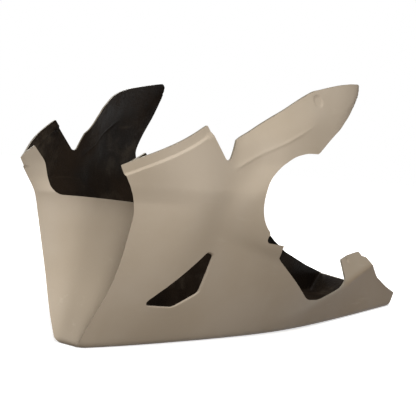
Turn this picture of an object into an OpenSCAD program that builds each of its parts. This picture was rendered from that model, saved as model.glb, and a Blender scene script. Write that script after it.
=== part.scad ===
// Lower fairing of a sports motorbike, one glass-fibre moulding open at the top.
// +X runs from the nose to the tail, +Y to the right-hand side and +Z up.
// The belly rests on z = 0, and the origin is the centre of the moulding's footprint.
// Every "station" below is a distance behind the nose tips. The tail's features are set out from its end.

/* [Overall] */
// Length from the nose tips to the end of the oil dam
length = 906; // [880:2:940]
// Thickness of the laminate
wall = 3; // [2.6:0.1:3.6]
// Radius where the belly turns up into the flanks
belly_r = 10; // [8:1:14]
// Height at which the flanks stop flaring and stand upright
flare_top = 240; // [225:1:260]
// How quickly the flanks flare above the belly
flare_power = 1.3; // [1.15:0.05:1.5]

/* [Belly half-widths] */
// Half-width of the belly at the very front
belly_nose_w = 2; // [2:1:6]
// Half-width of the belly at the chin
belly_chin_w = 18; // [14:1:22]
// Half-width of the belly behind the front wall
belly_throat_w = 37; // [32:1:42]
// Half-width of the belly at the front notch
belly_notch_w = 76; // [70:1:82]
// Half-width of the belly at the shoulder
belly_shoulder_w = 115; // [108:1:120]
// Half-width of the belly at the arm tips
belly_arm_w = 127; // [122:1:132]
// Half-width of the belly at the rear notch
belly_rear_w = 121; // [116:1:126]
// Half-width of the belly at the tail
belly_tail_w = 99; // [94:1:104]

/* [Upper half-widths] */
// Half-width between the nose tips
upper_nose_w = 104; // [100:1:108]
// Half-width at the crease of the front wall
upper_crease_w = 108; // [104:1:112]
// Half-width at the rear end of the joint flange
upper_flange_w = 157; // [150:1:162]
// Half-width at the root of the arms
upper_root_w = 166; // [162:1:172]
// Half-width at the shoulders
upper_shoulder_w = 201; // [195:1:206]
// Half-width at the arm tips
upper_arm_w = 208; // [203:1:214]
// Half-width over the tail hump, if its flank stood upright
upper_hump_w = 124; // [120:1:130]
// Half-width at the tail
upper_tail_w = 99; // [94:1:104]

/* [Front wall] */
// Height of the wall's top edge
front_wall_h = 217; // [205:1:225]
// Distance from the creases back to the wall, at its top
front_wall_setback = 55; // [48:1:62]
// Squareness of the wall in plan, where 2 is round
front_wall_squareness = 9; // [7:0.5:12]
// Station of the free edge of the two returns beside the duct opening
return_edge_x = 44; // [40:1:50]
// Half-width of the opening between the returns
return_gap_w = 104; // [102:0.5:106]
// Radius in the corner of that opening
return_corner_r = 12; // [6:1:16]
// Filled depth of the sharp leading edges, at the height of the wall's top edge
lead_fill = 15; // [13:0.5:18]

/* [Joint flange] */
// Height of the flange's top edge at the nose tips
flange_nose_h = 266; // [260:1:272]
// Station of the flange's rear end
flange_end_x = 110; // [104:1:114]
// Height of the flange's top edge at its rear end
flange_end_h = 331; // [325:1:336]
// Sag of the top edge between its two ends
flange_sag = 10; // [4:0.5:12]
// Height of the flange above its joggle
flange_h = 17; // [12:1:22]
// Depth of the joggle that the upper fairing laps over
joggle = 3; // [2.5:0.1:4]

/* [Front notch] */
// Station of the notch's rounded bottom
notch_x = 157; // [152:1:160]
// Height of the notch's bottom
notch_h = 285; // [278:1:292]
// Radius of the notch's bottom
notch_r = 8; // [6:0.5:10]
// Station of the notch's rear corner
notch_rear_x = 181; // [178:1:186]
// Height of the notch's rear corner
notch_rear_h = 314; // [308:1:320]

/* [Arms] */
// Station of the shoulder on the arms' top edge
shoulder_x = 320; // [312:1:328]
// Height of the shoulder
shoulder_h = 400; // [394:1:404]
// Station of the right arm's own shoulder, which comes earlier
right_shoulder_x = 268; // [260:1:276]
// Height of the right arm's shoulder
right_shoulder_h = 383; // [378:1:388]
// Station of the arm tips
tip_x = 436; // [428:1:444]
// Overall height, to the arm tips
height = 425; // [420:1:432]
// Radius of the arm tips
tip_r = 9; // [6:1:12]
// Radius of the shoulders
shoulder_r = 24; // [18:1:30]
// Distance from the tips forward to the heel of the arms' rear edge
arm_heel_back = 49; // [44:1:54]
// Height of that heel above the rear corner
arm_heel_rise = 60; // [54:1:66]
// Height of the crease along the arms, at their root
arm_crease_root_h = 275; // [270:1:282]
// Height of the crease along the arms, at the shoulder
arm_crease_shoulder_h = 352; // [345:1:358]
// Inward lean of the band above the crease, as a slope
arm_lean = 0.3; // [0.2:0.05:0.4]
// Station of the left arm's rear corner
left_corner_x = 330; // [322:1:338]
// Height of the left arm's rear corner
left_corner_h = 304; // [300:1:308]
// Station of the right arm's rear corner
right_corner_x = 369; // [360:1:378]
// Height of the right arm's rear corner
right_corner_h = 288; // [280:1:294]

/* [Engine cover cut-out] */
// Station of the round cut-out's centre, left side only
cover_x = 304; // [298:1:310]
// Height of its centre
cover_h = 230; // [226:1:234]
// Radius of the cut-out
cover_r = 73; // [70:1:76]
// Outward kick of the flanks around the engine cover
kick = 12; // [8:1:16]
// Height of the fold under the kick, at the arm root
fold_root_h = 176; // [170:1:182]
// Height of the fold under the kick, at the cut-out's centre
fold_cover_h = 125; // [118:1:132]

/* [Tab and rear notch] */
// Station of the tab's free end
tab_x = 289; // [284:1:294]
// Height of the tab's upper corner
tab_h = 158; // [154:1:162]
// Height of the tab's lower corner
tab_low_h = 138; // [134:1:142]
// Rearward bevel of the tab's free end, from its upper to its lower corner
tab_bevel = 7; // [4:1:10]
// Station of the lowest point of the rear notch
rear_notch_x = 493; // [485:1:500]
// Height of its lowest point
rear_notch_h = 52; // [46:1:58]
// Radius of the notch's bottom
rear_notch_r = 70; // [60:1:80]

/* [Tail hump] */
// Distance from the tail's end to the hump's front edge, at its foot
hump_foot_to_end = 288; // [280:1:296]
// Distance from the tail's end to the hump's front upper corner
hump_front_to_end = 274; // [268:1:278]
// Distance from the tail's end to the hump's rear upper corner
hump_rear_to_end = 182; // [176:1:190]
// Distance from the tail's end to the hump's heel
hump_heel_to_end = 134; // [128:1:142]
// Height of the hump's heel
hump_heel_h = 76; // [70:1:82]
// Radius of the hump's upper corners
hump_corner_r = 8; // [5:1:12]
// Height of the hump
hump_h = 121; // [114:1:128]
// Height of the ridge where the hump starts to lean in, at its front
ridge_h = 70; // [64:1:76]
// Inward lean of the hump above its ridge, as a slope
hump_lean = 0.55; // [0.4:0.05:0.65]

/* [Tail and oil dam] */
// Rearward lean of the dam, as a slope
dam_lean = 1; // [0.7:0.05:1.2]
// Height of the dam's top edge at the left flank
dam_left_h = 24; // [20:1:30]
// Height of the dam's top edge at the right flank
dam_right_h = 44; // [36:1:48]
// Distance from the tail's end to the kink in the right flank's rear edge
right_kink_to_end = 161; // [150:1:172]
// Height of that kink
right_kink_h = 101; // [94:1:108]
// Distance from the tail's end to the foot of that edge, where it flattens out
right_foot_to_end = 63; // [56:1:70]
// Height of that foot
right_foot_h = 61; // [56:1:66]

/* [Vents] */
// Station of the vents' upright rear edge
vent_rear_x = 169; // [165:1:173]
// Length of the vents
vent_len = 76; // [68:1:80]
// Height of the vents' lower edge
vent_low_h = 63; // [58:1:70]
// Height of the vents' upper corner
vent_top_h = 145; // [138:1:150]
// Length of the sweep between the vents' lower and rear edges
vent_sweep_len = 34; // [28:1:40]
// Height of that sweep
vent_sweep_h = 24; // [18:1:30]
// Radius of the vents' corners
vent_r = 6; // [4:0.5:8]

/* [Screw seats] */
// Radius of the undrilled round recesses
seat_r = 9; // [7:0.5:10]
// Depth of the recesses
seat_depth = 2.5; // [1.5:0.25:3]
// Station of the seats on the arms
arm_seat_x = 328; // [320:1:336]
// Height of the seats on the arms
arm_seat_h = 385; // [382:1:390]
// Distance from the tail's end to the seat on the tail hump
hump_seat_to_end = 244; // [236:1:250]
// Height of the seat on the tail hump
hump_seat_h = 104; // [102:1:107]

/* [Hidden] */
$fn = 48;
gelcoat = [0.66, 0.62, 0.54];
margin = 30;
cut_half_w = 300;
middle_half_w = 70;
overlap = 0.5;
// Height of the flat top that every uncut body reaches, above all that is kept.
roof_h = height + 2 * margin;

// Stations of the tail's features, counted back from its end.
hump_foot_x = length - hump_foot_to_end;
hump_front_x = length - hump_front_to_end;
hump_rear_x = length - hump_rear_to_end;
hump_heel_x = length - hump_heel_to_end;
hump_seat_x = length - hump_seat_to_end;
right_kink_x = length - right_kink_to_end;
right_foot_x = length - right_foot_to_end;

// Stations of the plan, shared by the belly line and the upper line.
chin_x = 13;
throat_x = 40;
crease_x = 33;
dam_x = length - dam_lean * dam_right_h;
dam_skew = sqrt(1 + dam_lean * dam_lean);
belly_line = [
    [0, belly_nose_w], [chin_x, belly_chin_w], [throat_x, belly_throat_w],
    [notch_x, belly_notch_w], [shoulder_x, belly_shoulder_w], [tip_x, belly_arm_w],
    [hump_foot_x, belly_rear_w], [length, belly_tail_w]
];
upper_line = [
    [0, upper_nose_w], [crease_x, upper_crease_w], [flange_end_x, upper_flange_w],
    [notch_rear_x, upper_root_w], [shoulder_x, upper_shoulder_w], [tip_x, upper_arm_w],
    [hump_rear_x - margin, upper_hump_w], [length, upper_tail_w]
];
// Leading edge seen from the side, as height and station: it bows back at mid height.
lead_line = [
    [0, 17], [43, 22], [100, 32], [170, 34], [front_wall_h, 30],
    [flange_nose_h, 0], [flange_nose_h + margin, -15]
];

// Distances over which the kick, the arms' bands and the hump run out into the plain flank.
kick_lead = 20;
fold_below = 18;
fold_above = 45;
tab_run = 50;
tab_rise = 80;
kick_run = 90;
root_run = 15;
crease_blend = 8;
band_hold = 60;
band_run = 60;
hump_run = 45;

// Eases from 0 at a to 1 at b.
function ease(v, a, b) = let (t = min(max((v - a) / (b - a), 0), 1)) t * t * (3 - 2 * t);

// Slope of a curve's point i, taken from its neighbours.
function knot_slope(p, i) =
    let (a = max(i - 1, 0), b = min(i + 1, len(p) - 1))
    (p[b][1] - p[a][1]) / (p[b][0] - p[a][0]);

// Height at v of the smooth curve through the points p, straight past its last point.
function curve(p, v) =
    let (
        i = max([0, for (k = [0 : len(p) - 2]) if (v >= p[k][0]) k]),
        h = p[i + 1][0] - p[i][0],
        t = min(max((v - p[i][0]) / h, 0), 1),
        past = max(v - p[len(p) - 1][0], 0)
    )
    (2 * pow(t, 3) - 3 * pow(t, 2) + 1) * p[i][1]
    + (pow(t, 3) - 2 * pow(t, 2) + t) * h * knot_slope(p, i)
    + (3 * pow(t, 2) - 2 * pow(t, 3)) * p[i + 1][1]
    + (pow(t, 3) - pow(t, 2)) * h * knot_slope(p, i + 1)
    + past * knot_slope(p, len(p) - 1);

// Value at x on the straight line through two points.
function line_at(x, x1, y1, x2, y2) = y1 + (y2 - y1) * (x - x1) / (x2 - x1);

// Height of the arms' crease, of the fold under the kick and of the hump's ridge.
function arm_crease(x) =
    line_at(x, notch_rear_x, arm_crease_root_h, shoulder_x, arm_crease_shoulder_h);
function fold(x) = line_at(x, notch_rear_x, fold_root_h, cover_x, fold_cover_h);
function ridge(x) = ridge_h + 0.2 * (x - hump_foot_x);

// What the arms, the engine cover and the hump add to a flank's plain flare.
function kick_out(x, z) =
    kick * ease(x, notch_rear_x, cover_x - kick_lead) * ease(z, fold(x) - fold_below, fold(x) + fold_above)
    * max(1 - ease(x, tab_x - kick_lead, tab_x + tab_run), ease(z, tab_h, tab_h + tab_rise))
    * (1 - ease(x, tip_x, tip_x + kick_run));
function arm_band(x, z) =
    arm_lean * max(z - arm_crease(x), 0) * ease(x, notch_x, notch_rear_x + root_run)
    * ease(z, arm_crease(x) - crease_blend, arm_crease(x) + crease_blend)
    * (1 - ease(x, tip_x + band_hold, tip_x + band_hold + band_run));
function hump_band(x, z) =
    hump_lean * max(z - ridge(x), 0) * ease(x, hump_foot_x - hump_run, hump_foot_x);

// Half-width of the moulding's outer face at a station and a height.
function half_width(x, z) =
    let (
        low = curve(belly_line, x),
        high = curve(upper_line, x),
        rise = min(max(z / flare_top, 0), 1)
    )
    low + (high - low) * (1 - pow(1 - rise, flare_power))
    + kick_out(x, z) - arm_band(x, z) - hump_band(x, z);

// Slopes of the outer face, and how much wider a square-on offset is when measured along Y.
function slope_x(x, z) = half_width(x + 1, z) - half_width(x, z);
function slope_z(x, z) = half_width(x, z + 1) - half_width(x, z);
function skew(x, z) = sqrt(1 + pow(slope_x(x, z), 2) + pow(slope_z(x, z), 2));

function lead_x(z) = curve(lead_line, z);
function wall_setback(z) = front_wall_setback * pow(max(z, 0) / front_wall_h, 0.85);
function lead_depth(z) = wall + lead_fill * wall_setback(z) / front_wall_setback;
function flange_edge(x) =
    line_at(x, 0, flange_nose_h, flange_end_x, flange_end_h)
    - 4 * flange_sag * (x / flange_end_x) * (1 - x / flange_end_x);

// Steps across half of the front wall, closer together near the crease.
wall_steps = 8;
half_steps = [for (i = [1 : wall_steps]) 1 - pow(1 - i / wall_steps, 2)];
across = concat([for (i = [wall_steps - 1 : -1 : 0]) half_steps[i]], [0], [for (s = half_steps) -s]);
// Steps along a flank, closer together at the front where it curves most.
flank_steps = 38;
along = [for (i = [1 : flank_steps]) 0.6 * i / flank_steps + 0.4 * pow(i / flank_steps, 2)];
level_count = 20;

// Height that the uppermost level reaches, which keeps the levels in line with the arms.
full_h = flange_nose_h + margin;
crown_gap = 14;
crown_fall = 100;
crown_line = [
    [crease_x, full_h], [flange_end_x, flange_end_h + crown_gap],
    [notch_rear_x, notch_rear_h + crown_gap], [shoulder_x, shoulder_h + crown_gap],
    [tip_x, height + crown_gap], [tip_x + crown_fall, (height + hump_h) / 2],
    [hump_front_x, hump_h + 2 * crown_gap], [hump_rear_x, hump_h + crown_gap],
    [length, dam_right_h + crown_gap]
];
// Height above a station of the level that has height z at the nose.
function level_z(x, z) =
    z <= belly_r ? z
    : belly_r + (z - belly_r) * (curve(crown_line, max(x, crease_x)) - belly_r) / (full_h - belly_r);

// One level of a solid that lies inside the outer face by the given insets.
function level(z, side, front, round_in) =
    let (
        tip = front > 0 ? lead_depth(z) : 0,
        start_x = lead_x(z) + tip + round_in,
        end_x = dam_x + dam_lean * min(level_z(length, z), dam_right_h) - front * dam_skew,
        crease_w = half_width(start_x, z) - side * skew(start_x, z) - round_in,
        depth = wall_setback(z) - tip + front,
        flank = [for (u = along)
            let (x = start_x + (end_x - start_x) * u, h = level_z(x, z))
            [x, half_width(x, h) - side * skew(x, h) - round_in, h]]
    )
    concat(
        [for (s = across)
            [start_x + depth * (1 - pow(abs(s), front_wall_squareness)), crease_w * s, z]],
        [for (p = flank) [p[0], -p[1], p[2]]],
        [for (i = [flank_steps - 1 : -1 : 0]) flank[i]]
    );

// Solid of the moulding's outer face, or of an inner face when insets are given, up to a flat top.
module solid_body(side = 0, front = 0, top = roof_h) {
    corner = belly_r - front;
    levels = concat(
        [for (a = [0, 35, 65])
            level(front + corner * (1 - cos(a)), side, front, corner * (1 - sin(a)))],
        [for (i = [0 : level_count])
            level(belly_r + i * (full_h - belly_r) / level_count, side, front, 0)],
        [[for (p = level(full_h, side, front, 0)) [p[0], p[1], top]]]
    );
    n = len(levels[0]);
    rings = len(levels);
    polyhedron(
        points = [for (ring = levels) for (p = ring) p],
        faces = concat(
            [[for (j = [0 : n - 1]) j]],
            [[for (j = [n - 1 : -1 : 0]) (rings - 1) * n + j]],
            [for (k = [0 : rings - 2]) for (j = [0 : n - 1])
                let (a = k * n + j, b = k * n + (j + 1) % n) [a, a + n, b + n]],
            [for (k = [0 : rings - 2]) for (j = [0 : n - 1])
                let (a = k * n + j, b = k * n + (j + 1) % n) [a, b + n, b]]
        ),
        convexity = 8
    );
}

// Laminate of even thickness, with its outer face inset by the given amount.
module skin(inset = 0) {
    difference() {
        solid_body(side = inset);
        solid_body(side = inset + wall, front = wall, top = roof_h + margin);
    }
}

// A flat outline, drawn with height upwards, spread over a band of Y.
module side_prism(y1, y2) {
    translate([0, y2, 0]) rotate([90, 0, 0]) linear_extrude(y2 - y1) children();
}

// A flat outline, drawn with height upwards, spread over the band of Y that either flank takes.
module both_flanks() {
    for (y = [-cut_half_w, middle_half_w]) side_prism(y, y + cut_half_w - middle_half_w) children();
}

// Everything below the flange's top edge, less a drop, back to the given station.
module below_flange(drop, end_x) {
    steps = 8;
    polygon(concat(
        [[-margin, 0], [-margin, flange_edge(-margin) - drop]],
        [for (i = [0 : steps]) let (x = end_x * i / steps) [x, flange_edge(x) - drop]],
        [[end_x, 0]]
    ));
}

// One arm from its root over its shoulder to its rounded tip, and down to its rear corner.
module arm_outline(shoulder, corner) {
    hull() {
        translate([notch_rear_x + 1, notch_rear_h - 1]) circle(1);
        translate([shoulder[0], shoulder[1] - shoulder_r]) circle(shoulder_r);
        translate([tip_x - tip_r, height - tip_r]) circle(tip_r);
        translate([tip_x - arm_heel_back, corner[1] + arm_heel_rise]) circle(tip_r);
        translate([corner[0] - 2, corner[1] + 2]) circle(2);
        translate([notch_rear_x + 1, notch_h]) circle(1);
    }
}

// Rounded wedge between the joint flange and the arm.
module front_notch() {
    hull() {
        translate([notch_x, notch_h + notch_r]) circle(notch_r);
        translate([flange_end_x, flange_end_h]) square([1, height]);
        translate([notch_rear_x - 1, notch_rear_h]) square([1, height]);
    }
}

// Outline shared by both flanks: nose, flange line and one arm, before the notch is cut.
module flank_front(shoulder, corner, drop) {
    below_flange(drop, notch_x);
    polygon([
        [-margin, -margin], [0, notch_h - margin], [notch_x - 1, notch_h], [notch_rear_x, notch_rear_h],
        corner, [corner[0], -margin]
    ]);
    arm_outline(shoulder, corner);
}

// What the engine cover takes out of the left flank, above the tab.
module cover_cutout() {
    neck_r = 4;
    translate([cover_x, cover_h]) circle(cover_r, $fn = 96);
    translate([cover_x, tab_h + neck_r]) square([tip_x - cover_x, left_corner_h - tab_h - neck_r - 1]);
    hull() {
        translate([tab_x - margin, tab_h + margin / 3]) circle(neck_r);
        translate([cover_x, cover_h]) circle(neck_r);
        translate([tab_x + margin, tab_h + neck_r]) circle(neck_r);
    }
    polygon([
        [tab_x, tab_h], [tab_x + tab_bevel, tab_low_h], [left_corner_x + margin, tab_low_h - margin],
        [left_corner_x + margin, cover_h], [tab_x, cover_h]
    ]);
}

// What the foot's room takes out of the left flank, between the tab and the tail hump.
module rear_notch() {
    hull() {
        translate([rear_notch_x, rear_notch_h + rear_notch_r]) circle(rear_notch_r, $fn = 96);
        translate([tab_x + tab_bevel + 2, tab_low_h]) circle(2);
        translate([hump_foot_x - 4, ridge_h + 8]) circle(4);
        translate([rear_notch_x, 2 * height]) circle(1);
    }
    translate([tab_x + tab_bevel + 1, tab_low_h - 1])
        square([hump_foot_x - tab_x - tab_bevel - 1, margin]);
}

// What lies above the tail hump's rounded profile and above the low edge behind it.
module above_hump() {
    end_x = length + 3 * margin;
    offset(r = -hump_corner_r) offset(delta = hump_corner_r) polygon([
        [hump_foot_x - margin, hump_h + 2 * margin], [hump_foot_x - margin, ridge_h + 4],
        [hump_foot_x, ridge_h], [hump_front_x, hump_h - 1], [hump_rear_x, hump_h],
        [hump_heel_x, hump_heel_h], [hump_heel_x + margin, hump_heel_h - 2 * margin / 3],
        [length, dam_left_h - 4], [end_x, dam_left_h - margin], [end_x, hump_h + 2 * margin]
    ]);
}

// Left flank: round engine cover cut-out, tab, deep rear notch and leaning hump.
module left_outline(drop = 0) {
    difference() {
        flank_front([shoulder_x, shoulder_h], [left_corner_x, left_corner_h], drop);
        cover_cutout();
    }
    difference() {
        translate([tab_x, -margin]) square([length + 2 * margin - tab_x, margin + tab_low_h]);
        rear_notch();
        above_hump();
    }
}

// Right flank: one long edge falls from the arm to the tail.
module right_outline(drop = 0) {
    corner = [right_corner_x, right_corner_h];
    flank_front([right_shoulder_x, right_shoulder_h], corner, drop);
    polygon([
        [0, -margin], [notch_rear_x, notch_h], corner, [right_kink_x, right_kink_h],
        [right_foot_x, right_foot_h], [length, dam_right_h], [length + margin, dam_right_h - 12],
        [length + margin, -margin]
    ]);
}

// The middle of the moulding: belly, front wall and dam.
module middle_outline() {
    translate([-margin, -margin]) square([length + 2 * margin, 2 * margin + dam_right_h]);
    translate([-margin, -margin]) square([notch_x + margin, front_wall_h + margin]);
}

// Rounded vent with an upright rear edge, cut through both flanks.
module vent_outline() {
    hull() {
        translate([vent_rear_x - vent_len + vent_r, vent_low_h + vent_r]) circle(vent_r);
        translate([vent_rear_x - vent_r, vent_top_h - vent_r]) circle(vent_r);
        translate([vent_rear_x - vent_r, vent_low_h + vent_sweep_h]) circle(vent_r);
        translate([vent_rear_x - vent_sweep_len, vent_low_h + vent_r]) circle(vent_r);
    }
}

// Opening above the front wall, between the two returns.
module duct_opening() {
    hull() {
        translate([return_edge_x + return_corner_r, front_wall_h + return_corner_r])
            circle(return_corner_r);
        translate([return_edge_x, height]) square([notch_x - return_edge_x, 1]);
        translate([notch_x, front_wall_h]) square(1);
    }
}

// Frame of a screw seat on the right flank, with its Z axis square to the outer face.
module on_flank(x, z) {
    tilt = atan2(sqrt(1 + pow(slope_x(x, z), 2)), -slope_z(x, z));
    turn = atan2(1, -slope_x(x, z));
    translate([x, half_width(x, z), z]) rotate([0, tilt, turn]) children();
}

module seat_boss() {
    translate([0, 0, -seat_depth - wall]) cylinder(r = seat_r + wall, h = seat_depth + wall - overlap);
}

module seat_recess() {
    translate([0, 0, -seat_depth]) cylinder(r = seat_r, h = seat_depth + margin);
}

// Places children at every screw seat: both arms and the left tail hump.
module at_seats() {
    for (side = [0, 1]) mirror([0, side, 0]) on_flank(arm_seat_x, arm_seat_h) children();
    mirror([0, 1, 0]) on_flank(hump_seat_x, hump_seat_h) children();
}

// Both flanks' outlines and the middle, as one cutting solid.
module trim(drop) {
    side_prism(-cut_half_w, -middle_half_w) left_outline(drop);
    side_prism(middle_half_w, cut_half_w) right_outline(drop);
    side_prism(-middle_half_w - overlap, middle_half_w + overlap) middle_outline();
}

// Strip above the joggle, where the upper fairing laps over.
module flange_strip() {
    intersection() {
        skin(joggle - overlap);
        both_flanks() difference() {
            below_flange(0, notch_x);
            below_flange(flange_h + 4, notch_x);
        }
    }
}

// Dam's top edge, which falls from the right flank to the left one.
module dam_cut() {
    rise = (dam_right_h - dam_left_h) / (2 * upper_tail_w);
    mid_h = (dam_left_h + dam_right_h) / 2;
    translate([dam_x, 0, 0]) rotate([90, 0, 90]) linear_extrude(length + margin - dam_x) polygon([
        [-upper_tail_w + wall, dam_left_h + wall * rise], [upper_tail_w - wall, dam_right_h - wall * rise],
        [upper_tail_w - wall, height], [-upper_tail_w + wall, height]
    ]);
}

module fairing_shell() {
    color(gelcoat) translate([-length / 2, 0, 0]) difference() {
        union() {
            intersection() {
                skin();
                trim(flange_h);
            }
            flange_strip();
            at_seats() seat_boss();
        }
        at_seats() seat_recess();
        both_flanks() front_notch();
        both_flanks() vent_outline();
        side_prism(-return_gap_w, return_gap_w) duct_opening();
        dam_cut();
    }
}

fairing_shell();
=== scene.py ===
import math

import bmesh
import bpy
import numpy as np
from mathutils import Matrix, Vector


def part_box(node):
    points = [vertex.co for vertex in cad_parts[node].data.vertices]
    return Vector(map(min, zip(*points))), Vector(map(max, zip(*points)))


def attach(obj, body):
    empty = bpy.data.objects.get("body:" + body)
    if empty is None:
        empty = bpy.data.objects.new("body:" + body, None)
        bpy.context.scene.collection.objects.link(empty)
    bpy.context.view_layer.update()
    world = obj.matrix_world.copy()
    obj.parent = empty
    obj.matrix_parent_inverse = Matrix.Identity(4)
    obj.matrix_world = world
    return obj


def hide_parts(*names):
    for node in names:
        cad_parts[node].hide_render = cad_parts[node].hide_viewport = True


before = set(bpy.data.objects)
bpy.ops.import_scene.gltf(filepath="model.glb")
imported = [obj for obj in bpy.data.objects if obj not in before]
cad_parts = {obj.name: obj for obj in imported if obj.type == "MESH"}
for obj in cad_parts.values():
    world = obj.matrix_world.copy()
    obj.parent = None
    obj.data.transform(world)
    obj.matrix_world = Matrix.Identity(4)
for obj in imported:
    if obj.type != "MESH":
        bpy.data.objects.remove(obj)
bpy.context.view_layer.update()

# The moulding. The real fairing is one shell of glass fibre, laid up by hand in a split mould: its outside
# is the mould's gelcoat and its inside the raw laminate. Its edges are sawn to a line and rubbed down.
# Lengths are millimetres: a station lies behind the nose tips, and a height is above the belly's underside.
millimetre = 0.001
shell_low, shell_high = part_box("fairing_shell")
length = (shell_high.x - shell_low.x) / millimetre
wall = 3
belly_r = 10
flare_top = 240
flare_power = 1.3
belly_line = [(0, 2), (13, 18), (40, 37), (157, 76), (320, 115), (436, 127), (618, 121), (906, 99)]
upper_line = [(0, 104), (33, 108), (110, 157), (181, 166), (320, 201), (436, 208), (693, 124), (906, 99)]

# The front wall stands back between two sharp leading edges, which bow rearwards at mid height. Above it
# only its two returns are left, which splay towards the flange. Behind the edges the laminate is filled.
lead_line = [(0, 17), (43, 22), (100, 32), (170, 34), (217, 30), (266, 0), (306, -20)]
front_wall_h = 217
front_wall_setback = 55
front_wall_bow = 0.85
front_wall_squareness = 4
return_squareness = 30
return_splay = 11
return_len = 50
lead_fill = 15
lead_fill_top = 9
lead_fill_fade_h = (217, 247)
lining_fade_h = (40, 150)

# The joint flange steps in, so that the upper fairing can lap over it.
flange_nose_h = 267
flange_end = (110, 331)
flange_sag = 1
nose_end = 170
flange_h = 17
joggle = 3
joggle_softness = 2.2
joggle_run_in = 12

# The arms lean in above two creases, which run together and soften towards the shoulder. A faint bead
# stands along the lower one, and the rear edge is rolled inwards.
arm_crease = [(181, 275), (320, 352)]
arm_second_crease = [(190, 306), (312, 354)]
arm_lean = 0.3
lower_share = 0.62
crease_softness = 2
crease_run_out = 30
crease_run_out_x = (287, 362)
crease_bead = 0.8
crease_bead_w = 3
crease_bead_fade_x = (272, 322)
arm_start_x = (157, 196)
arm_fade_x = (496, 556)
roll_line = [(317, 340), (347, 376), (375, 405), (408, 438), (427, 449)]
roll_depth = 3.5
roll_w = 11
roll_fade = (20, 60)
arm_root_x = 181

# The flank is kicked out round the engine cover: steeply above a fold, softly along a slanting swell.
kick = 12
fold_line = [(181, 168.5), (304, 135.3)]
fold_run = 9
fold_softness = 2
front_fold_run = 40
front_fold_fade_x = (181, 274)
swell_ahead = 45.5
swell_h = (190, 283)
swell_w = 60
kick_start_x = (150, 250)
kick_fade_x = (304, 364)
kick_keep_h = (158, 238)
kick_end_x = (436, 526)

# The tail hump leans in above a sharp ridge.
hump_start_x = (565, 610)
hump_ridge = [(618, 70), (718, 90)]
hump_lean = 0.62
ridge_softness = 1.2

# The oil dam closes the tail and leans back.
dam_lean = 1
dam_left_h = 24
dam_right_h = 44
dam_x = length - dam_lean * dam_right_h
dam_skew = math.hypot(1, dam_lean)
tail_corner_r = 9
tail_half_w = 99

# The finishes: satin gelcoat outside, with painted shade low at the tail, dull dark laminate inside, and
# the sawn edge between them.
gelcoat_tan = (0.438, 0.374, 0.298)
gelcoat_warm = (0.410, 0.344, 0.264)
gelcoat_painted_shade = (0.270, 0.200, 0.130)
gelcoat_dust = (0.560, 0.490, 0.400)
resin_black = (0.0090, 0.0062, 0.0044)
resin_brown = (0.025, 0.0165, 0.0105)
resin_grey = (0.085, 0.067, 0.047)
edge_tan = (0.300, 0.262, 0.200)
edge_brown = (0.130, 0.108, 0.080)


def add(tree, kind, inputs=(), **settings):
    """Adds a shader node with its settings, and sets or links its inputs."""
    made = tree.nodes.new("ShaderNode" + kind)
    for key, value in settings.items():
        setattr(made, key, value)
    for key, value in dict(inputs).items():
        if isinstance(value, bpy.types.NodeSocket):
            tree.links.new(value, made.inputs[key])
        else:
            made.inputs[key].default_value = value
    return made


def blend(tree, share, a, b):
    """Colour mix of a and b, each a colour or a socket."""
    mix = add(tree, "Mix", data_type="RGBA")
    for at, value in ((0, share), (6, a), (7, b)):
        if isinstance(value, bpy.types.NodeSocket):
            tree.links.new(value, mix.inputs[at])
        else:
            mix.inputs[at].default_value = value if at == 0 else (*value, 1)
    return mix.outputs[2]


def noise(tree, where, scale, detail=3, roughness=0.5):
    inputs = {"Vector": where, "Scale": scale, "Detail": detail, "Roughness": roughness}
    return add(tree, "TexNoise", inputs).outputs["Fac"]


def spread(tree, value, low, high):
    """Mask that runs softly from 0 where the value is low to 1 where it is high."""
    inputs = {"Value": value, "From Min": low, "From Max": high}
    return add(tree, "MapRange", inputs, interpolation_type="SMOOTHSTEP").outputs["Result"]


def times(tree, a, b):
    return add(tree, "Math", {0: a, 1: b}, operation="MULTIPLY").outputs[0]


def plus(tree, a, b):
    return add(tree, "Math", {0: a, 1: b}, operation="ADD").outputs[0]


def hand_finish_group():
    """Clouds, scuffs and ripples that a hand-laid moulding has on every face."""
    tree = bpy.data.node_groups.new("hand_finish", "ShaderNodeTree")
    for name, value in (("Cloud Scale", 9), ("Scuff Scale", 30), ("Ripple Scale", 260)):
        socket = tree.interface.new_socket(name, in_out="INPUT", socket_type="NodeSocketFloat")
        socket.default_value = value
    for name in ("Clouds", "Scuffs", "Ripple"):
        tree.interface.new_socket(name, in_out="OUTPUT", socket_type="NodeSocketFloat")
    given = tree.nodes.new("NodeGroupInput").outputs
    result = tree.nodes.new("NodeGroupOutput").inputs
    where = add(tree, "TexCoord").outputs["Object"]
    clouds = noise(tree, where, given["Cloud Scale"], detail=4, roughness=0.55)
    tree.links.new(spread(tree, clouds, 0.32, 0.68), result["Clouds"])
    along = add(tree, "Mapping", {"Vector": where, "Rotation": (0.1, 0.5, 0.2), "Scale": (0.25, 2.2, 2.6)})
    streaks = noise(tree, along.outputs[0], given["Scuff Scale"], detail=9, roughness=0.7)
    patches = noise(tree, where, 6, detail=2)
    scuffs = times(tree, spread(tree, streaks, 0.56, 0.72), spread(tree, patches, 0.45, 0.68))
    tree.links.new(scuffs, result["Scuffs"])
    fine = noise(tree, where, given["Ripple Scale"], detail=2)
    slow = noise(tree, where, 22, detail=1)
    tree.links.new(plus(tree, times(tree, fine, 0.25), slow), result["Ripple"])
    return tree


hand_finish = hand_finish_group()


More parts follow.
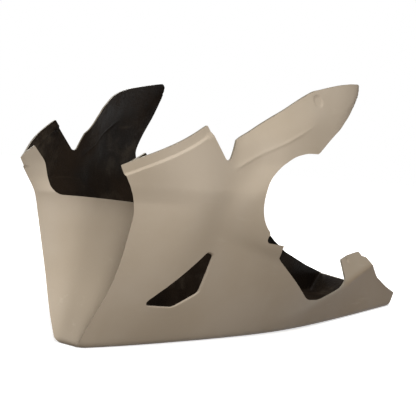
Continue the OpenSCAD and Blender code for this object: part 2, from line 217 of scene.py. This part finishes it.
def finish_material(name, roughness, specular):
    """An empty material with its principled shader and the shared hand finish."""
    material = bpy.data.materials.new(name)
    material.use_nodes = True
    tree = material.node_tree
    shader = tree.nodes["Principled BSDF"]
    shader.inputs["Roughness"].default_value = roughness
    shader.inputs["Specular IOR Level"].default_value = specular
    marks = tree.nodes.new("ShaderNodeGroup")
    marks.node_tree = hand_finish
    return material, tree, shader, marks


def gelcoat_material():
    """Satin tan gelcoat, a little cloudy, with rubbed streaks and faint dust.

    Low at the tail it darkens towards a dark brown, which is painted shade.
    """
    material, tree, shader, marks = finish_material("gelcoat_outside", 0.4, 0.06)
    marks.inputs["Cloud Scale"].default_value = 7
    marks.inputs["Scuff Scale"].default_value = 26
    colour = blend(tree, marks.outputs["Clouds"], gelcoat_tan, gelcoat_warm)
    where = add(tree, "SeparateXYZ", {0: add(tree, "TexCoord").outputs["Object"]}).outputs
    # Painted shade: the gelcoat darkens low on the rear flank, where that side turns away from the light.
    low = spread(tree, plus(tree, where["Z"], times(tree, where["X"], -0.2)), 0.05, 0.03)
    painted_shade = times(tree, spread(tree, where["X"], -0.16, 0.14), low)
    colour = blend(tree, times(tree, painted_shade, 0.75), colour, gelcoat_painted_shade)
    colour = blend(tree, times(tree, marks.outputs["Scuffs"], 0.28), colour, gelcoat_dust)
    tree.links.new(colour, shader.inputs["Base Color"])
    rough = plus(tree, times(tree, marks.outputs["Clouds"], 0.07), 0.36)
    rough = plus(tree, rough, times(tree, marks.outputs["Scuffs"], 0.18))
    tree.links.new(rough, shader.inputs["Roughness"])
    bump = add(tree, "Bump", {"Height": marks.outputs["Ripple"], "Strength": 0.25, "Distance": 0.0006})
    tree.links.new(bump.outputs[0], shader.inputs["Normal"])
    return material


def laminate_material():
    """Raw laminate: chopped glass mat under near-black resin, greyer where it is dry or dusty."""
    material, tree, shader, marks = finish_material("laminate_inside", 0.5, 0.06)
    marks.inputs["Cloud Scale"].default_value = 11
    marks.inputs["Scuff Scale"].default_value = 18
    marks.inputs["Ripple Scale"].default_value = 120
    where = add(tree, "TexCoord").outputs["Object"]
    swirl = add(tree, "TexNoise", {"Vector": where, "Scale": 60, "Detail": 2})
    bent = add(tree, "Mix", {0: 0.02, 4: where, 5: swirl.outputs["Color"]}, data_type="VECTOR")
    strands = add(tree, "TexVoronoi", {"Vector": bent.outputs[1], "Scale": 210}, feature="DISTANCE_TO_EDGE")
    strand = spread(tree, strands.outputs["Distance"], 0.0, 0.12)
    dry = times(tree, spread(tree, noise(tree, where, 13, detail=5, roughness=0.65), 0.5, 0.7), 0.55)
    colour = blend(tree, marks.outputs["Clouds"], resin_black, resin_brown)
    colour = blend(tree, dry, colour, resin_grey)
    colour = blend(tree, times(tree, strand, 0.22), colour, resin_black)
    colour = blend(tree, times(tree, marks.outputs["Scuffs"], 0.6), colour, resin_grey)
    tree.links.new(colour, shader.inputs["Base Color"])
    rough = plus(tree, times(tree, marks.outputs["Clouds"], 0.2), 0.42)
    tree.links.new(rough, shader.inputs["Roughness"])
    relief = plus(tree, times(tree, strand, 0.5), marks.outputs["Ripple"])
    bump = add(tree, "Bump", {"Height": relief, "Strength": 0.5, "Distance": 0.0012})
    tree.links.new(bump.outputs[0], shader.inputs["Normal"])
    return material


def edge_material():
    """Sawn edge: the cut plies show as fine lines, rubbed smooth."""
    material, tree, shader, marks = finish_material("sawn_edge", 0.6, 0.3)
    marks.inputs["Cloud Scale"].default_value = 35
    marks.inputs["Ripple Scale"].default_value = 700
    colour = blend(tree, times(tree, marks.outputs["Clouds"], 0.6), edge_tan, edge_brown)
    tree.links.new(colour, shader.inputs["Base Color"])
    bump = add(tree, "Bump", {"Height": marks.outputs["Ripple"], "Strength": 0.4, "Distance": 0.0004})
    tree.links.new(bump.outputs[0], shader.inputs["Normal"])
    return material


gelcoat, laminate, sawn_edge = gelcoat_material(), laminate_material(), edge_material()
OUTSIDE, INSIDE, EDGE = range(3)


def ease(v, a, b):
    """Runs smoothly from 0 at a to 1 at b."""
    t = np.clip((v - a) / (b - a), 0, 1)
    return t * t * (3 - 2 * t)


def ramp(v, softness):
    """Nothing below zero and v above it, with a rounded bend between."""
    return (v + np.sqrt(v * v + softness * softness)) / 2


def line_at(v, ends):
    """Height at v of the straight line through two ends."""
    (x1, y1), (x2, y2) = ends
    return y1 + (y2 - y1) * (v - x1) / (x2 - x1)


def curve(points, v):
    """Smooth curve through the points, level before the first one and straight past the last."""
    x, y = np.array(points, float).T
    slope = np.gradient(y, x)
    slope[1:-1] = (y[2:] - y[:-2]) / (x[2:] - x[:-2])
    i = np.clip(np.searchsorted(x, v, side="right") - 1, 0, len(x) - 2)
    h = x[i + 1] - x[i]
    t = np.clip((v - x[i]) / h, 0, 1)
    bend = (t**3 - 2 * t**2 + t) * slope[i] + (t**3 - t**2) * slope[i + 1]
    past = np.maximum(v - x[-1], 0)
    return y[i] + (3 * t**2 - 2 * t**3) * (y[i + 1] - y[i]) + h * bend + past * slope[-1]


def flange_edge(x):
    """Height of the joint flange's top edge."""
    share = x / flange_end[0]
    return line_at(x, [(0, flange_nose_h), flange_end]) - 4 * flange_sag * share * (1 - share)


def kick_out(x, z):
    """How far the flank stands out round the engine cover."""
    run = fold_run + front_fold_run * (1 - ease(x, *front_fold_fade_x))
    over_fold = 1 - np.exp(-ramp(z - line_at(x, fold_line), fold_softness) / run)
    swell_x = np.clip(z, *swell_h) - swell_ahead
    swell = ease(x, swell_x - swell_w / 2, swell_x + swell_w / 2) * ease(x, *kick_start_x)
    fade = np.maximum(1 - ease(x, *kick_fade_x), ease(z, *kick_keep_h))
    rear = 1 - ease(x, *kick_end_x)
    return kick * over_fold * swell * fade * rear


def arm_band(x, z):
    """How far the arm leans in above its two creases, less the bead."""
    above_crease = z - line_at(x, arm_crease)
    soft = crease_softness + crease_run_out * ease(x, *crease_run_out_x)
    lower = ramp(above_crease, soft)
    upper = ramp(z - np.maximum(line_at(x, arm_second_crease), line_at(x, arm_crease)), soft)
    along = ease(x, *arm_start_x) * (1 - ease(x, *arm_fade_x))
    bead = crease_bead * np.exp(-((above_crease / crease_bead_w) ** 2)) * (1 - ease(x, *crease_bead_fade_x))
    return (arm_lean * (lower_share * lower + (1 - lower_share) * upper) - bead) * along


def arm_roll(x, z):
    """How far the arm's rear edge is rolled inwards, more towards the tip."""
    h, edge = np.array(roll_line, float).T
    to_edge = x - np.interp(z, h, edge)
    return roll_depth * ease(z, h[0], h[3]) * ease(to_edge, -roll_w, 0) * (1 - ease(to_edge, *roll_fade))


def hump_band(x, z):
    """How far the hump leans in above its ridge."""
    return hump_lean * ramp(z - line_at(x, hump_ridge), ridge_softness) * ease(x, *hump_start_x)


def joggle_step(x, z):
    """How far the joint flange steps in."""
    above = z - (flange_edge(x) - flange_h)
    return joggle * ease(above, -joggle_softness, joggle_softness) * (x < arm_root_x)


def nose_shift(x, z):
    """Above the front wall the leading edge runs forward, and the plan of the nose goes with it."""
    shift = curve(lead_line, front_wall_h) - curve(lead_line, np.maximum(z, front_wall_h))
    return shift * (1 - ease(x, 0, nose_end))


def half_width(x, z):
    """Half-width of the outer face at a station and a height."""
    low, high = curve(belly_line, x), curve(upper_line, x + nose_shift(x, z))
    rise = np.clip(z / flare_top, 0, 1)
    flare = low + (high - low) * (1 - (1 - rise) ** flare_power)
    inwards = arm_band(x, z) + arm_roll(x, z) + hump_band(x, z) + joggle_step(x, z)
    return flare + kick_out(x, z) - inwards


def slopes(x, z):
    """How fast the outer face widens along the station and the height."""
    step = 0.5
    along = (half_width(x + step, z) - half_width(x - step, z)) / (2 * step)
    up = (half_width(x, z + step) - half_width(x, z - step)) / (2 * step)
    return along, up


def skew(x, z):
    """How much wider a square-on offset is when it is measured sideways."""
    along, up = slopes(x, z)
    return np.sqrt(1 + along**2 + up**2)


def wall_depth(z):
    """How far the front wall stands behind the leading edges."""
    return front_wall_setback * (np.maximum(z, 0) / front_wall_h) ** front_wall_bow


# Rows of the mesh follow the moulding's own lines: the fold, then the joggle, arm crease and hump ridge,
# and last the crown above them. The flat roof closes the rough body, and is sawn off with the waste.
crease_band = 8
fold_guide = [(0, 178), (181, 176), (304, 125), (436, 84), (618, 50), (906, 22)]
crease_guide = [
    (110, 314), (146, 296), (181, 275), (250, 313), (320, 352), (390, 388), (436, 398),
    (540, 190), (618, 72), (718, 90), (770, 84), (906, 45),
]
crown_guide = [
    (33, 300), (110, 350), (181, 338), (250, 380), (320, 420), (436, 446),
    (540, 250), (648, 152), (742, 136), (906, 72),
]
guide_rows = [26, 28, 16, 16]
station_count = 150
even_share = 0.62
dam_count = 16
belly_ring_w = 12
round_step = 15
settle_rounds = 6
roof_h = 480
hollow_roof_h = 500


def guides(x):
    """Heights of the guide lines at a station, from the belly's corner up."""
    joggle_line = flange_edge(x) - flange_h
    crease = np.where(x < flange_end[0], joggle_line, curve(crease_guide, x))
    fold, crown = curve(fold_guide, x), curve(crown_guide, x)
    return [np.full_like(x, belly_r), fold, crease - crease_band, crease + crease_band, crown]


def row_height(x, row):
    """Height of a mesh row, which is a share of the way across a band between two guides."""
    band, share = row
    g = guides(x)
    return g[band] * (1 - share) + g[band + 1] * share


across_count = 34
across_crowding = 1.8
across_half = 1 - (1 - np.linspace(0, 1, across_count)[1:]) ** across_crowding
across = np.concatenate([across_half[::-1], [0], -across_half])


def wall_line(z, inset, tip, inner_w, inner):
    """Plan of the front wall and its two returns, from the right leading edge to the left one."""
    start, depth = float(curve(lead_line, z)), float(wall_depth(z))
    upper = float(ease(z, front_wall_h, flange_nose_h))
    squareness = front_wall_squareness + upper * (return_squareness - front_wall_squareness)
    outer_w = float(half_width(start, z))
    s = across * (max(1 - tip / depth, 0) ** (1 / squareness) if inner else 1)
    x = start + depth * (1 - np.abs(s) ** squareness)
    splay = return_splay * upper * np.clip((x - start) / return_len, 0, 1)
    y = s * outer_w + np.sign(s) * (splay + joggle_step(start, z) * ease(x - start, 0, joggle_run_in))
    if inner:
        along, aside = np.gradient(x), np.gradient(y)
        size = np.maximum(np.hypot(along, aside), 1e-6)
        x, y = x - wall * aside / size, y + wall * along / size
        plain_x = start + tip + (depth - tip + wall) * (1 - np.abs(across) ** front_wall_squareness)
        share = float(ease(z, *lining_fade_h))
        x, y = plain_x + share * (x - plain_x), inner_w * across * (1 - share) + share * y
    return x + inset, y * (1 - inset / (inner_w if inner else outer_w))


def skin(n, count):
    """Faces of a closed body made of a count of rings of n points, capped at both ends."""
    faces = [tuple(range(n)), tuple(range(n * count - 1, n * count - n - 1, -1))]
    for a in range(0, n * (count - 1), n):
        faces += [(a + j, a + j + n, a + (j + 1) % n + n, a + (j + 1) % n) for j in range(n)]
    return faces


def fairing_body(name, side, front, roof, slot):
    """Closed body of the outer face, or of the inner one, which lies in from it at the sides and front."""
    share = np.linspace(0, 1, station_count)[1:]
    along = even_share * share + (1 - even_share) * share**2
    corner = belly_r - front
    rear_r = tail_corner_r - front
    ends = np.linspace(1, -1, dam_count)[1:-1]
    turns = np.radians(np.arange(0, 91, round_step))
    corner_rows = [(corner + belly_ring_w, 0)]
    corner_rows += [(corner * (1 - math.sin(a)), corner * (1 - math.cos(a))) for a in turns[:-1]]
    bands = [(band, i / n) for band, n in enumerate(guide_rows) for i in range(n)] + [(3, 1)]
    rings = []
    for row in corner_rows + bands:
        low = len(rings) < len(corner_rows)
        inset = row[0] if low else 0
        z = front + row[1] if low else 0
        # A row's height and the leading edge's station depend on each other, and settle in a few rounds.
        start = np.array([0.0])
        for _ in range(0 if low else settle_rounds):
            z = float(row_height(start, row)[0])
            start = np.array([float(curve(lead_line, z))])
        depth = float(wall_depth(z))
        fill = lead_fill + (lead_fill_top - lead_fill) * float(ease(z, *lead_fill_fade_h))
        tip = wall + fill * depth / front_wall_setback if front else 0
        start = float(curve(lead_line, z)) + tip + inset
        end_z = z if low else float(row_height(np.array([length]), row)[0])
        end = dam_x + dam_lean * min(end_z, dam_right_h) - front * dam_skew
        rear = end - rear_r + rear_r * np.sin(turns)
        x = np.concatenate([start + (end - rear_r - start) * along[:-1], rear])
        h = np.full_like(x, z) if low else row_height(x, row)
        y = half_width(x, h) - side * skew(x, h) - inset
        into = np.clip(x - (end - rear_r), 0, rear_r)
        y = y - (rear_r - np.sqrt(rear_r**2 - into**2))
        s_w = float(half_width(start, z) - side * skew(start, z)) - inset
        wall_x, wall_y = wall_line(z, inset, tip, s_w + inset, front > 0)
        wall_pts = np.stack([wall_x, wall_y, np.full_like(across, z)], 1)
        left = np.stack([x, -y, h], 1)
        dam = np.stack([np.full_like(ends, end), -y[-1] * ends, np.full_like(ends, h[-1])], 1)
        right = np.stack([x, y, h], 1)[::-1]
        rings.append(np.concatenate([wall_pts, left, dam, right]))
    top = rings[-1].copy()
    top[:, 2] = roof
    rings.append(top)
    return solid(name, np.concatenate(rings), skin(len(top), len(rings)), slot)


def solid(name, points, faces, slot):
    """A closed mesh object, its stations set into the row frame and its faces given one finish."""
    mesh = bpy.data.meshes.new(name)
    at = np.array(points, float) * millimetre
    at[:, 0] += shell_low.x
    mesh.from_pydata(at.tolist(), [], faces)
    shape = bmesh.new()
    shape.from_mesh(mesh)
    bmesh.ops.recalc_face_normals(shape, faces=shape.faces)
    shape.to_mesh(mesh)
    shape.free()
    for finish in (gelcoat, laminate, sawn_edge):
        mesh.materials.append(finish)
    mesh.polygons.foreach_set("material_index", [slot] * len(mesh.polygons))
    obj = bpy.data.objects.new(name, mesh)
    bpy.context.scene.collection.objects.link(obj)
    return obj


def rounded(corners, step=2):
    """Outline through (station, height, radius) corners, each rounded by its radius."""
    out = []
    for i, (x, z, r) in enumerate(corners):
        here = np.array([x, z], float)
        before = np.array(corners[i - 1][:2], float) - here
        after = np.array(corners[(i + 1) % len(corners)][:2], float) - here
        a, b = before / np.linalg.norm(before), after / np.linalg.norm(after)
        half = math.acos(np.clip(a @ b, -1, 1)) / 2
        reach = r / math.tan(half)
        if r == 0 or reach < 0.01:
            out.append(here)
            continue
        centre = here + (a + b) / np.linalg.norm(a + b) * r / math.sin(half)
        first, last = here + a * reach - centre, here + b * reach - centre
        sweep = math.pi - 2 * half
        turn = math.copysign(sweep, first[0] * last[1] - first[1] * last[0])
        count = max(2, int(sweep * r / step))
        for t in np.linspace(0, turn, count + 1):
            c, s = math.cos(t), math.sin(t)
            out.append(centre + [first[0] * c - first[1] * s, first[0] * s + first[1] * c])
    return np.array(out)


def through(points, per_gap=5):
    """Smooth line through (station, height) points."""
    at = np.array(points, float)
    run = np.concatenate([[0], np.cumsum(np.linalg.norm(np.diff(at, axis=0), axis=1))])
    where = np.linspace(0, run[-1], per_gap * len(at))
    return np.stack([curve(np.stack([run, side], 1), where) for side in at.T], 1)


def prism(name, outline, y1, y2, slot):
    """An outline of stations and heights, spread from one side position to another."""
    n = len(outline)
    points = [(x, y, z) for y in (y1, y2) for x, z in outline]
    faces = [tuple(range(n)), tuple(range(2 * n - 1, n - 1, -1))]
    faces += [(j + n, (j + 1) % n + n, (j + 1) % n, j) for j in range(n)]
    return solid(name, points, faces, slot)


def cut(target, *cutters):
    """Takes the cutters away from the target for good."""
    for cutter in cutters:
        step = target.modifiers.new("cut", "BOOLEAN")
        step.operation = "DIFFERENCE"
        step.solver = "MANIFOLD"
        step.object = cutter
        seen = target.evaluated_get(bpy.context.evaluated_depsgraph_get())
        mesh = bpy.data.meshes.new_from_object(seen)
        target.modifiers.clear()
        target.data = mesh
        bpy.data.objects.remove(cutter)


# The trimmed edges: the flange, the arms, the engine cover's round cut-out on the left flank, the tab,
# the hump and the tail. Each is sawn to a line of stations and heights, some with a corner radius, and the
# cutters reach well past the moulding.
side_reach = 300
flank_inner = 72
above = 520
ahead = -60
behind = length + 60
flange_count = 26


def flange_line():
    """Top edge of the joint flange, from ahead of the nose to its rear end."""
    x = np.linspace(ahead, flange_end[0], flange_count)
    return np.stack([x, flange_edge(x)], 1)


notch = [(*flange_end, 1.5), (160.8, 277.7, 9), (arm_root_x - 2, 314, 1)]
arm_top = [
    (180, 315), (207, 329.5), (224, 341), (253, 362), (290, 385.5), (319, 401), (334, 405.5), (380, 418),
    (412, 424),
]
arm_tip = [(451.5, 428, 9)]
arm_rear = [
    (437.1, 407.7), (425.3, 394.9), (406.2, 375.1), (390.4, 360), (376.4, 346.8), (363.7, 337),
    (351.5, 327.1), (329.6, 307.4),
]
right_top = [
    (187, 321), (197, 334), (205, 346), (219, 361.5), (243, 376), (267.5, 388), (291.6, 397.5),
    (330, 407.5), (409, 423.5),
]
right_tip = [(438, 429, 8)]
right_rear = [(430, 401), (411, 359), (385, 318), (374.5, 300), (371, 289), (374, 279)]
arm_foot = (300, 303, 0)
cover_edge = [
    (325, 304.7), (305, 304.1), (294.3, 302.5), (276.5, 297), (261.4, 288), (247.8, 276.6),
    (236.8, 263.9), (230.2, 251), (227.2, 235.5), (228.5, 220.1), (232.6, 207.5), (238.2, 197),
    (245.5, 187.8), (253.1, 180.7),
]
tab_outline = [(256, 176.5, 2), (253, 163.5, 9), (291.5, 158.4, 1.2), (294, 149, 6), (301.5, 136.5, 4)]
rear_notch = [(430, 56, 80), (482, 51, 90), (570, 64, 120), (607, 76, 9)]
hump_outline = [
    (617, 112.5, 6), (660, 119, 40), (711, 123, 1.5), (716, 115.5, 2), (733, 112, 14), (754, 87.5, 40),
    (773, 70, 40), (830, 45, 120),
]
tail_edge = [(906, 19, 0), (966, -4, 0)]
right_edge = [(690, 124, 60), (843, 63, 60), (906, 43, 0), (966, 30, 0)]


def arm_outline(top, tip, rear):
    """An arm's corners: smooth along its top and its rear edge, rounded at the tip."""
    return [(x, z, 0) for x, z in through(top)] + tip + [(x, z, 0) for x, z in through(rear)]


left_arm = arm_outline(arm_top, arm_tip, arm_rear)
right_arm = arm_outline(right_top, right_tip, right_rear)


def waste_above(name, y1, y2, arm, low_edge):
    """Everything above a flank's trimmed outline."""
    # The first corner and the last only give the directions in which the line comes and goes.
    before_notch = (ahead, flange_edge(ahead) + ahead, 0)
    first = rounded([before_notch] + notch + arm + [arm_foot])[1:-1]
    line = np.concatenate([flange_line()[:-1], first, low_edge])
    roof = np.array([(behind, above), (ahead, above)])
    return prism(name, np.concatenate([line, roof]), y1, y2, EDGE)


def left_low_edge():
    """From the engine cover's cut-out round the tab, the rear notch and the hump to the tail."""
    round_cut = through(cover_edge)
    rest = rounded([(*cover_edge[-1], 0)] + tab_outline + rear_notch + hump_outline + tail_edge)[1:]
    return np.concatenate([round_cut, rest])


def right_low_edge():
    """One long edge from the arm's foot to the tail."""
    return rounded([(*right_rear[-1], 0)] + right_edge)[1:]


# The waste between the flanks: the nose is open above the front wall, and the dam ends in a sloping edge.
duct_floor_h = 213.5
duct_low_half_w = 112
duct_high_half_w = 117
near_return_w = 110
duct_low = rounded([(56, 256, 0), (53, duct_floor_h, 14), (300, duct_floor_h, 0), (300, 256, 0)])
duct_high = rounded([
    (20, above, 0), (20, 300, 0), (56, 263, 22), (56, 243, 0), (300, 243, 0), (300, above, 0),
])
near_return_top = [(12, 272), (44, 282.5), (70, 291), (70, above), (12, above)]
dam_top = [(-tail_half_w + wall, dam_left_h + 1), (tail_half_w - wall, dam_right_h - 1)]


def above_dam():
    """Everything above the dam's sloping top edge, between the flanks."""
    line = dam_top + [(tail_half_w - wall, above), (-tail_half_w + wall, above)]
    points = [(x, y, z) for x in (dam_x, behind) for y, z in line]
    faces = [(0, 1, 2, 3), (7, 6, 5, 4)] + [(j + 4, (j + 1) % 4 + 4, (j + 1) % 4, j) for j in range(4)]
    return solid("above_dam", points, faces, EDGE)


fairing = fairing_body("moulding", 0, 0, roof_h, OUTSIDE)
hollow = fairing_body("hollow", wall, wall, hollow_roof_h, INSIDE)
cut(fairing, hollow)
cut(
    fairing,
    waste_above("left_waste", -side_reach, -flank_inner, left_arm, left_low_edge()),
    waste_above("right_waste", flank_inner, side_reach, right_arm, right_low_edge()),
    prism("duct_low_waste", duct_low, -duct_low_half_w, duct_low_half_w, EDGE),
    prism("duct_high_waste", duct_high, -duct_high_half_w, duct_high_half_w, EDGE),
    prism("near_return_waste", near_return_top, -near_return_w, -flank_inner, EDGE),
    above_dam(),
)

# Each flank has one vent, whose lip is rolled in so that the gelcoat runs round it.
vent_outline = rounded([(85, 67.2, 4), (134, 62.3, 18), (172.3, 84, 9), (173, 143.5, 5), (160, 147, 5)])
lip_r = 3
lip_turns = np.radians(np.arange(20, 91, 10))
cutter_lead = 8
cutter_bite = 16


def funnel(name, outline, side, profile, slot):
    """Cutter round a closed outline, with offsets and depths that follow the outer face."""
    run = np.roll(outline, -1, axis=0) - np.roll(outline, 1, axis=0)
    normal = np.stack([run[:, 1], -run[:, 0]], 1)
    normal /= np.linalg.norm(normal, axis=1)[:, None]
    middle = outline.mean(0)
    if ((outline - middle) * normal).sum() < 0:
        normal = -normal
    points = []
    for offset, depth in profile:
        at = outline + normal * offset
        y = half_width(at[:, 0], at[:, 1]) - depth * skew(at[:, 0], at[:, 1])
        points += [(x, side * w, z) for (x, z), w in zip(at, y)]
    return solid(name, points, skin(len(outline), len(profile)), slot)


lip = [(lip_r * (1 - math.sin(a)), lip_r * (1 - math.cos(a))) for a in lip_turns]
vent_profile = [(lip[0][0], -cutter_lead)] + lip + [(0, cutter_bite)]
for side in (-1, 1):
    cut(fairing, funnel("vent_cut", vent_outline, side, vent_profile, OUTSIDE))

# A shallow round seat on each arm marks where its screw hole is drilled, and the left hump has a small
# dimple. Their profiles hold an offset from the outline and a depth below the face.
seat_at = (327.5, 387.5)
seat_r = 8
seat_profile = [(3, -8), (3, -0.05), (1.5, 0.3), (0, 1.1), (-1.5, 1.5), (-5, 1.6)]
dimple_at = (645, 109.5)
dimple_r = 4
dimple_profile = [(1, -6), (1, -0.05), (0, 0.4), (-1.5, 1.3), (-3, 1.5)]
circle_count = 32


def circle(centre, r):
    turn = np.linspace(0, math.tau, circle_count + 1)[:-1]
    return np.array(centre) + r * np.stack([np.cos(turn), np.sin(turn)], 1)


for side in (-1, 1):
    cut(fairing, funnel("seat_cut", circle(seat_at, seat_r), side, seat_profile, OUTSIDE))
cut(fairing, funnel("dimple_cut", circle(dimple_at, dimple_r), -1, dimple_profile, OUTSIDE))

sharp_angle = math.radians(38)
fairing.name = "fairing_moulding"
for polygon in fairing.data.polygons:
    polygon.use_smooth = True
fairing.data.set_sharp_from_angle(angle=sharp_angle)
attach(fairing, "root")
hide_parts("fairing_shell")


# The floor: a plain pale sweep that shows white and keeps the fairing's soft shadow. Rays that only
# carry light meet a darker paper, so that little comes back up onto the moulding.
floor_half = 30
floor_mesh = bpy.data.meshes.new("floor")
corners = [(floor_half * x, floor_half * y, 0) for x, y in ((-1, -1), (1, -1), (1, 1), (-1, 1))]
floor_mesh.from_pydata(corners, [], [(0, 1, 2, 3)])
floor = bpy.data.objects.new("floor", floor_mesh)
bpy.context.scene.collection.objects.link(floor)
paper = bpy.data.materials.new("pale_paper")
paper.use_nodes = True
tree = paper.node_tree
tree.nodes.clear()
rays = add(tree, "LightPath").outputs
seen = rays["Is Camera Ray"]
for kind in ("Is Glossy Ray", "Is Transmission Ray"):
    seen = add(tree, "Math", {0: seen, 1: rays[kind]}, operation="MAXIMUM").outputs[0]
shown = add(tree, "BsdfDiffuse", {"Color": (0.9, 0.9, 0.9, 1)})
lift = add(tree, "Emission", {"Color": (1, 1, 1, 1), "Strength": 0.6})
pale = add(tree, "AddShader", {0: shown.outputs[0], 1: lift.outputs[0]})
bounce = add(tree, "BsdfDiffuse", {"Color": (0.16, 0.13, 0.10, 1)})
either = add(tree, "MixShader", {0: seen, 1: bounce.outputs[0], 2: pale.outputs[0]})
add(tree, "OutputMaterial", {"Surface": either.outputs[0]})
floor_mesh.materials.append(paper)


# The light: a broad even lamp from high behind the camera and a soft one at the height of the arms, a weak
# one ahead of the nose, a wide one on the far side, and a dim warm sky that fills the shadows.
def towards(azimuth, elevation):
    """Unit vector from the object to a lamp, with its angles in degrees."""
    a, e = math.radians(azimuth), math.radians(elevation)
    return Vector((math.cos(e) * math.cos(a), math.cos(e) * math.sin(a), math.sin(e)))


def lamp(name, kind, direction, distance, **settings):
    """A lamp that stands off in a direction and faces the object's middle."""
    data = bpy.data.lights.new(name, kind)
    for key, value in settings.items():
        setattr(data, key, value)
    obj = bpy.data.objects.new(name, data)
    obj.location = lamp_target + direction * distance
    obj.rotation_euler = (-direction).to_track_quat("-Z", "Y").to_euler()
    obj.visible_camera = False
    bpy.context.scene.collection.objects.link(obj)


lamp_target = Vector((0, 0, 0.2))
lamp("even_lamp", "SUN", towards(225, 68), 3, energy=2, angle=math.radians(24))
lamp("soft_lamp", "AREA", towards(227, 12), 1.25, energy=7, shape="DISK", size=0.55)
lamp("front_lamp", "AREA", towards(178, 10), 1.5, energy=1.6, shape="DISK", size=0.5)
lamp("far_lamp", "AREA", towards(65, 24), 2.2, energy=30, shape="DISK", size=1.2)

world = bpy.data.worlds.new("sky")
bpy.context.scene.world = world
world.use_nodes = True
tree = world.node_tree
tree.nodes.clear()
rays = add(tree, "LightPath").outputs
dim = add(tree, "Background", {"Color": (1, 0.9, 0.78, 1), "Strength": 0.1})
white = add(tree, "Background", {"Color": (1, 1, 1, 1), "Strength": 1})
either = add(tree, "MixShader", {0: rays["Is Camera Ray"], 1: dim.outputs[0], 2: white.outputs[0]})
add(tree, "OutputWorld", {"Surface": either.outputs[0]})

# The camera stands low at the front left, level with the flange, and is rolled a little, both as in the
# photograph.
camera_place = Vector((-1.268, -0.888, 0.276))
camera_direction = Vector((0.7890, 0.6122, -0.0513))
camera_roll = math.radians(4.17)
camera_data = bpy.data.cameras.new("camera")
camera_data.lens = 72.7
camera_data.sensor_width = 36
camera = bpy.data.objects.new("camera", camera_data)
aim = camera_direction.to_track_quat("-Z", "Y").to_matrix().to_4x4()
camera.matrix_world = Matrix.Translation(camera_place) @ aim @ Matrix.Rotation(camera_roll, 4, "Z")
bpy.context.scene.collection.objects.link(camera)
bpy.context.scene.camera = camera
bpy.context.scene.view_settings.view_transform = "Standard"
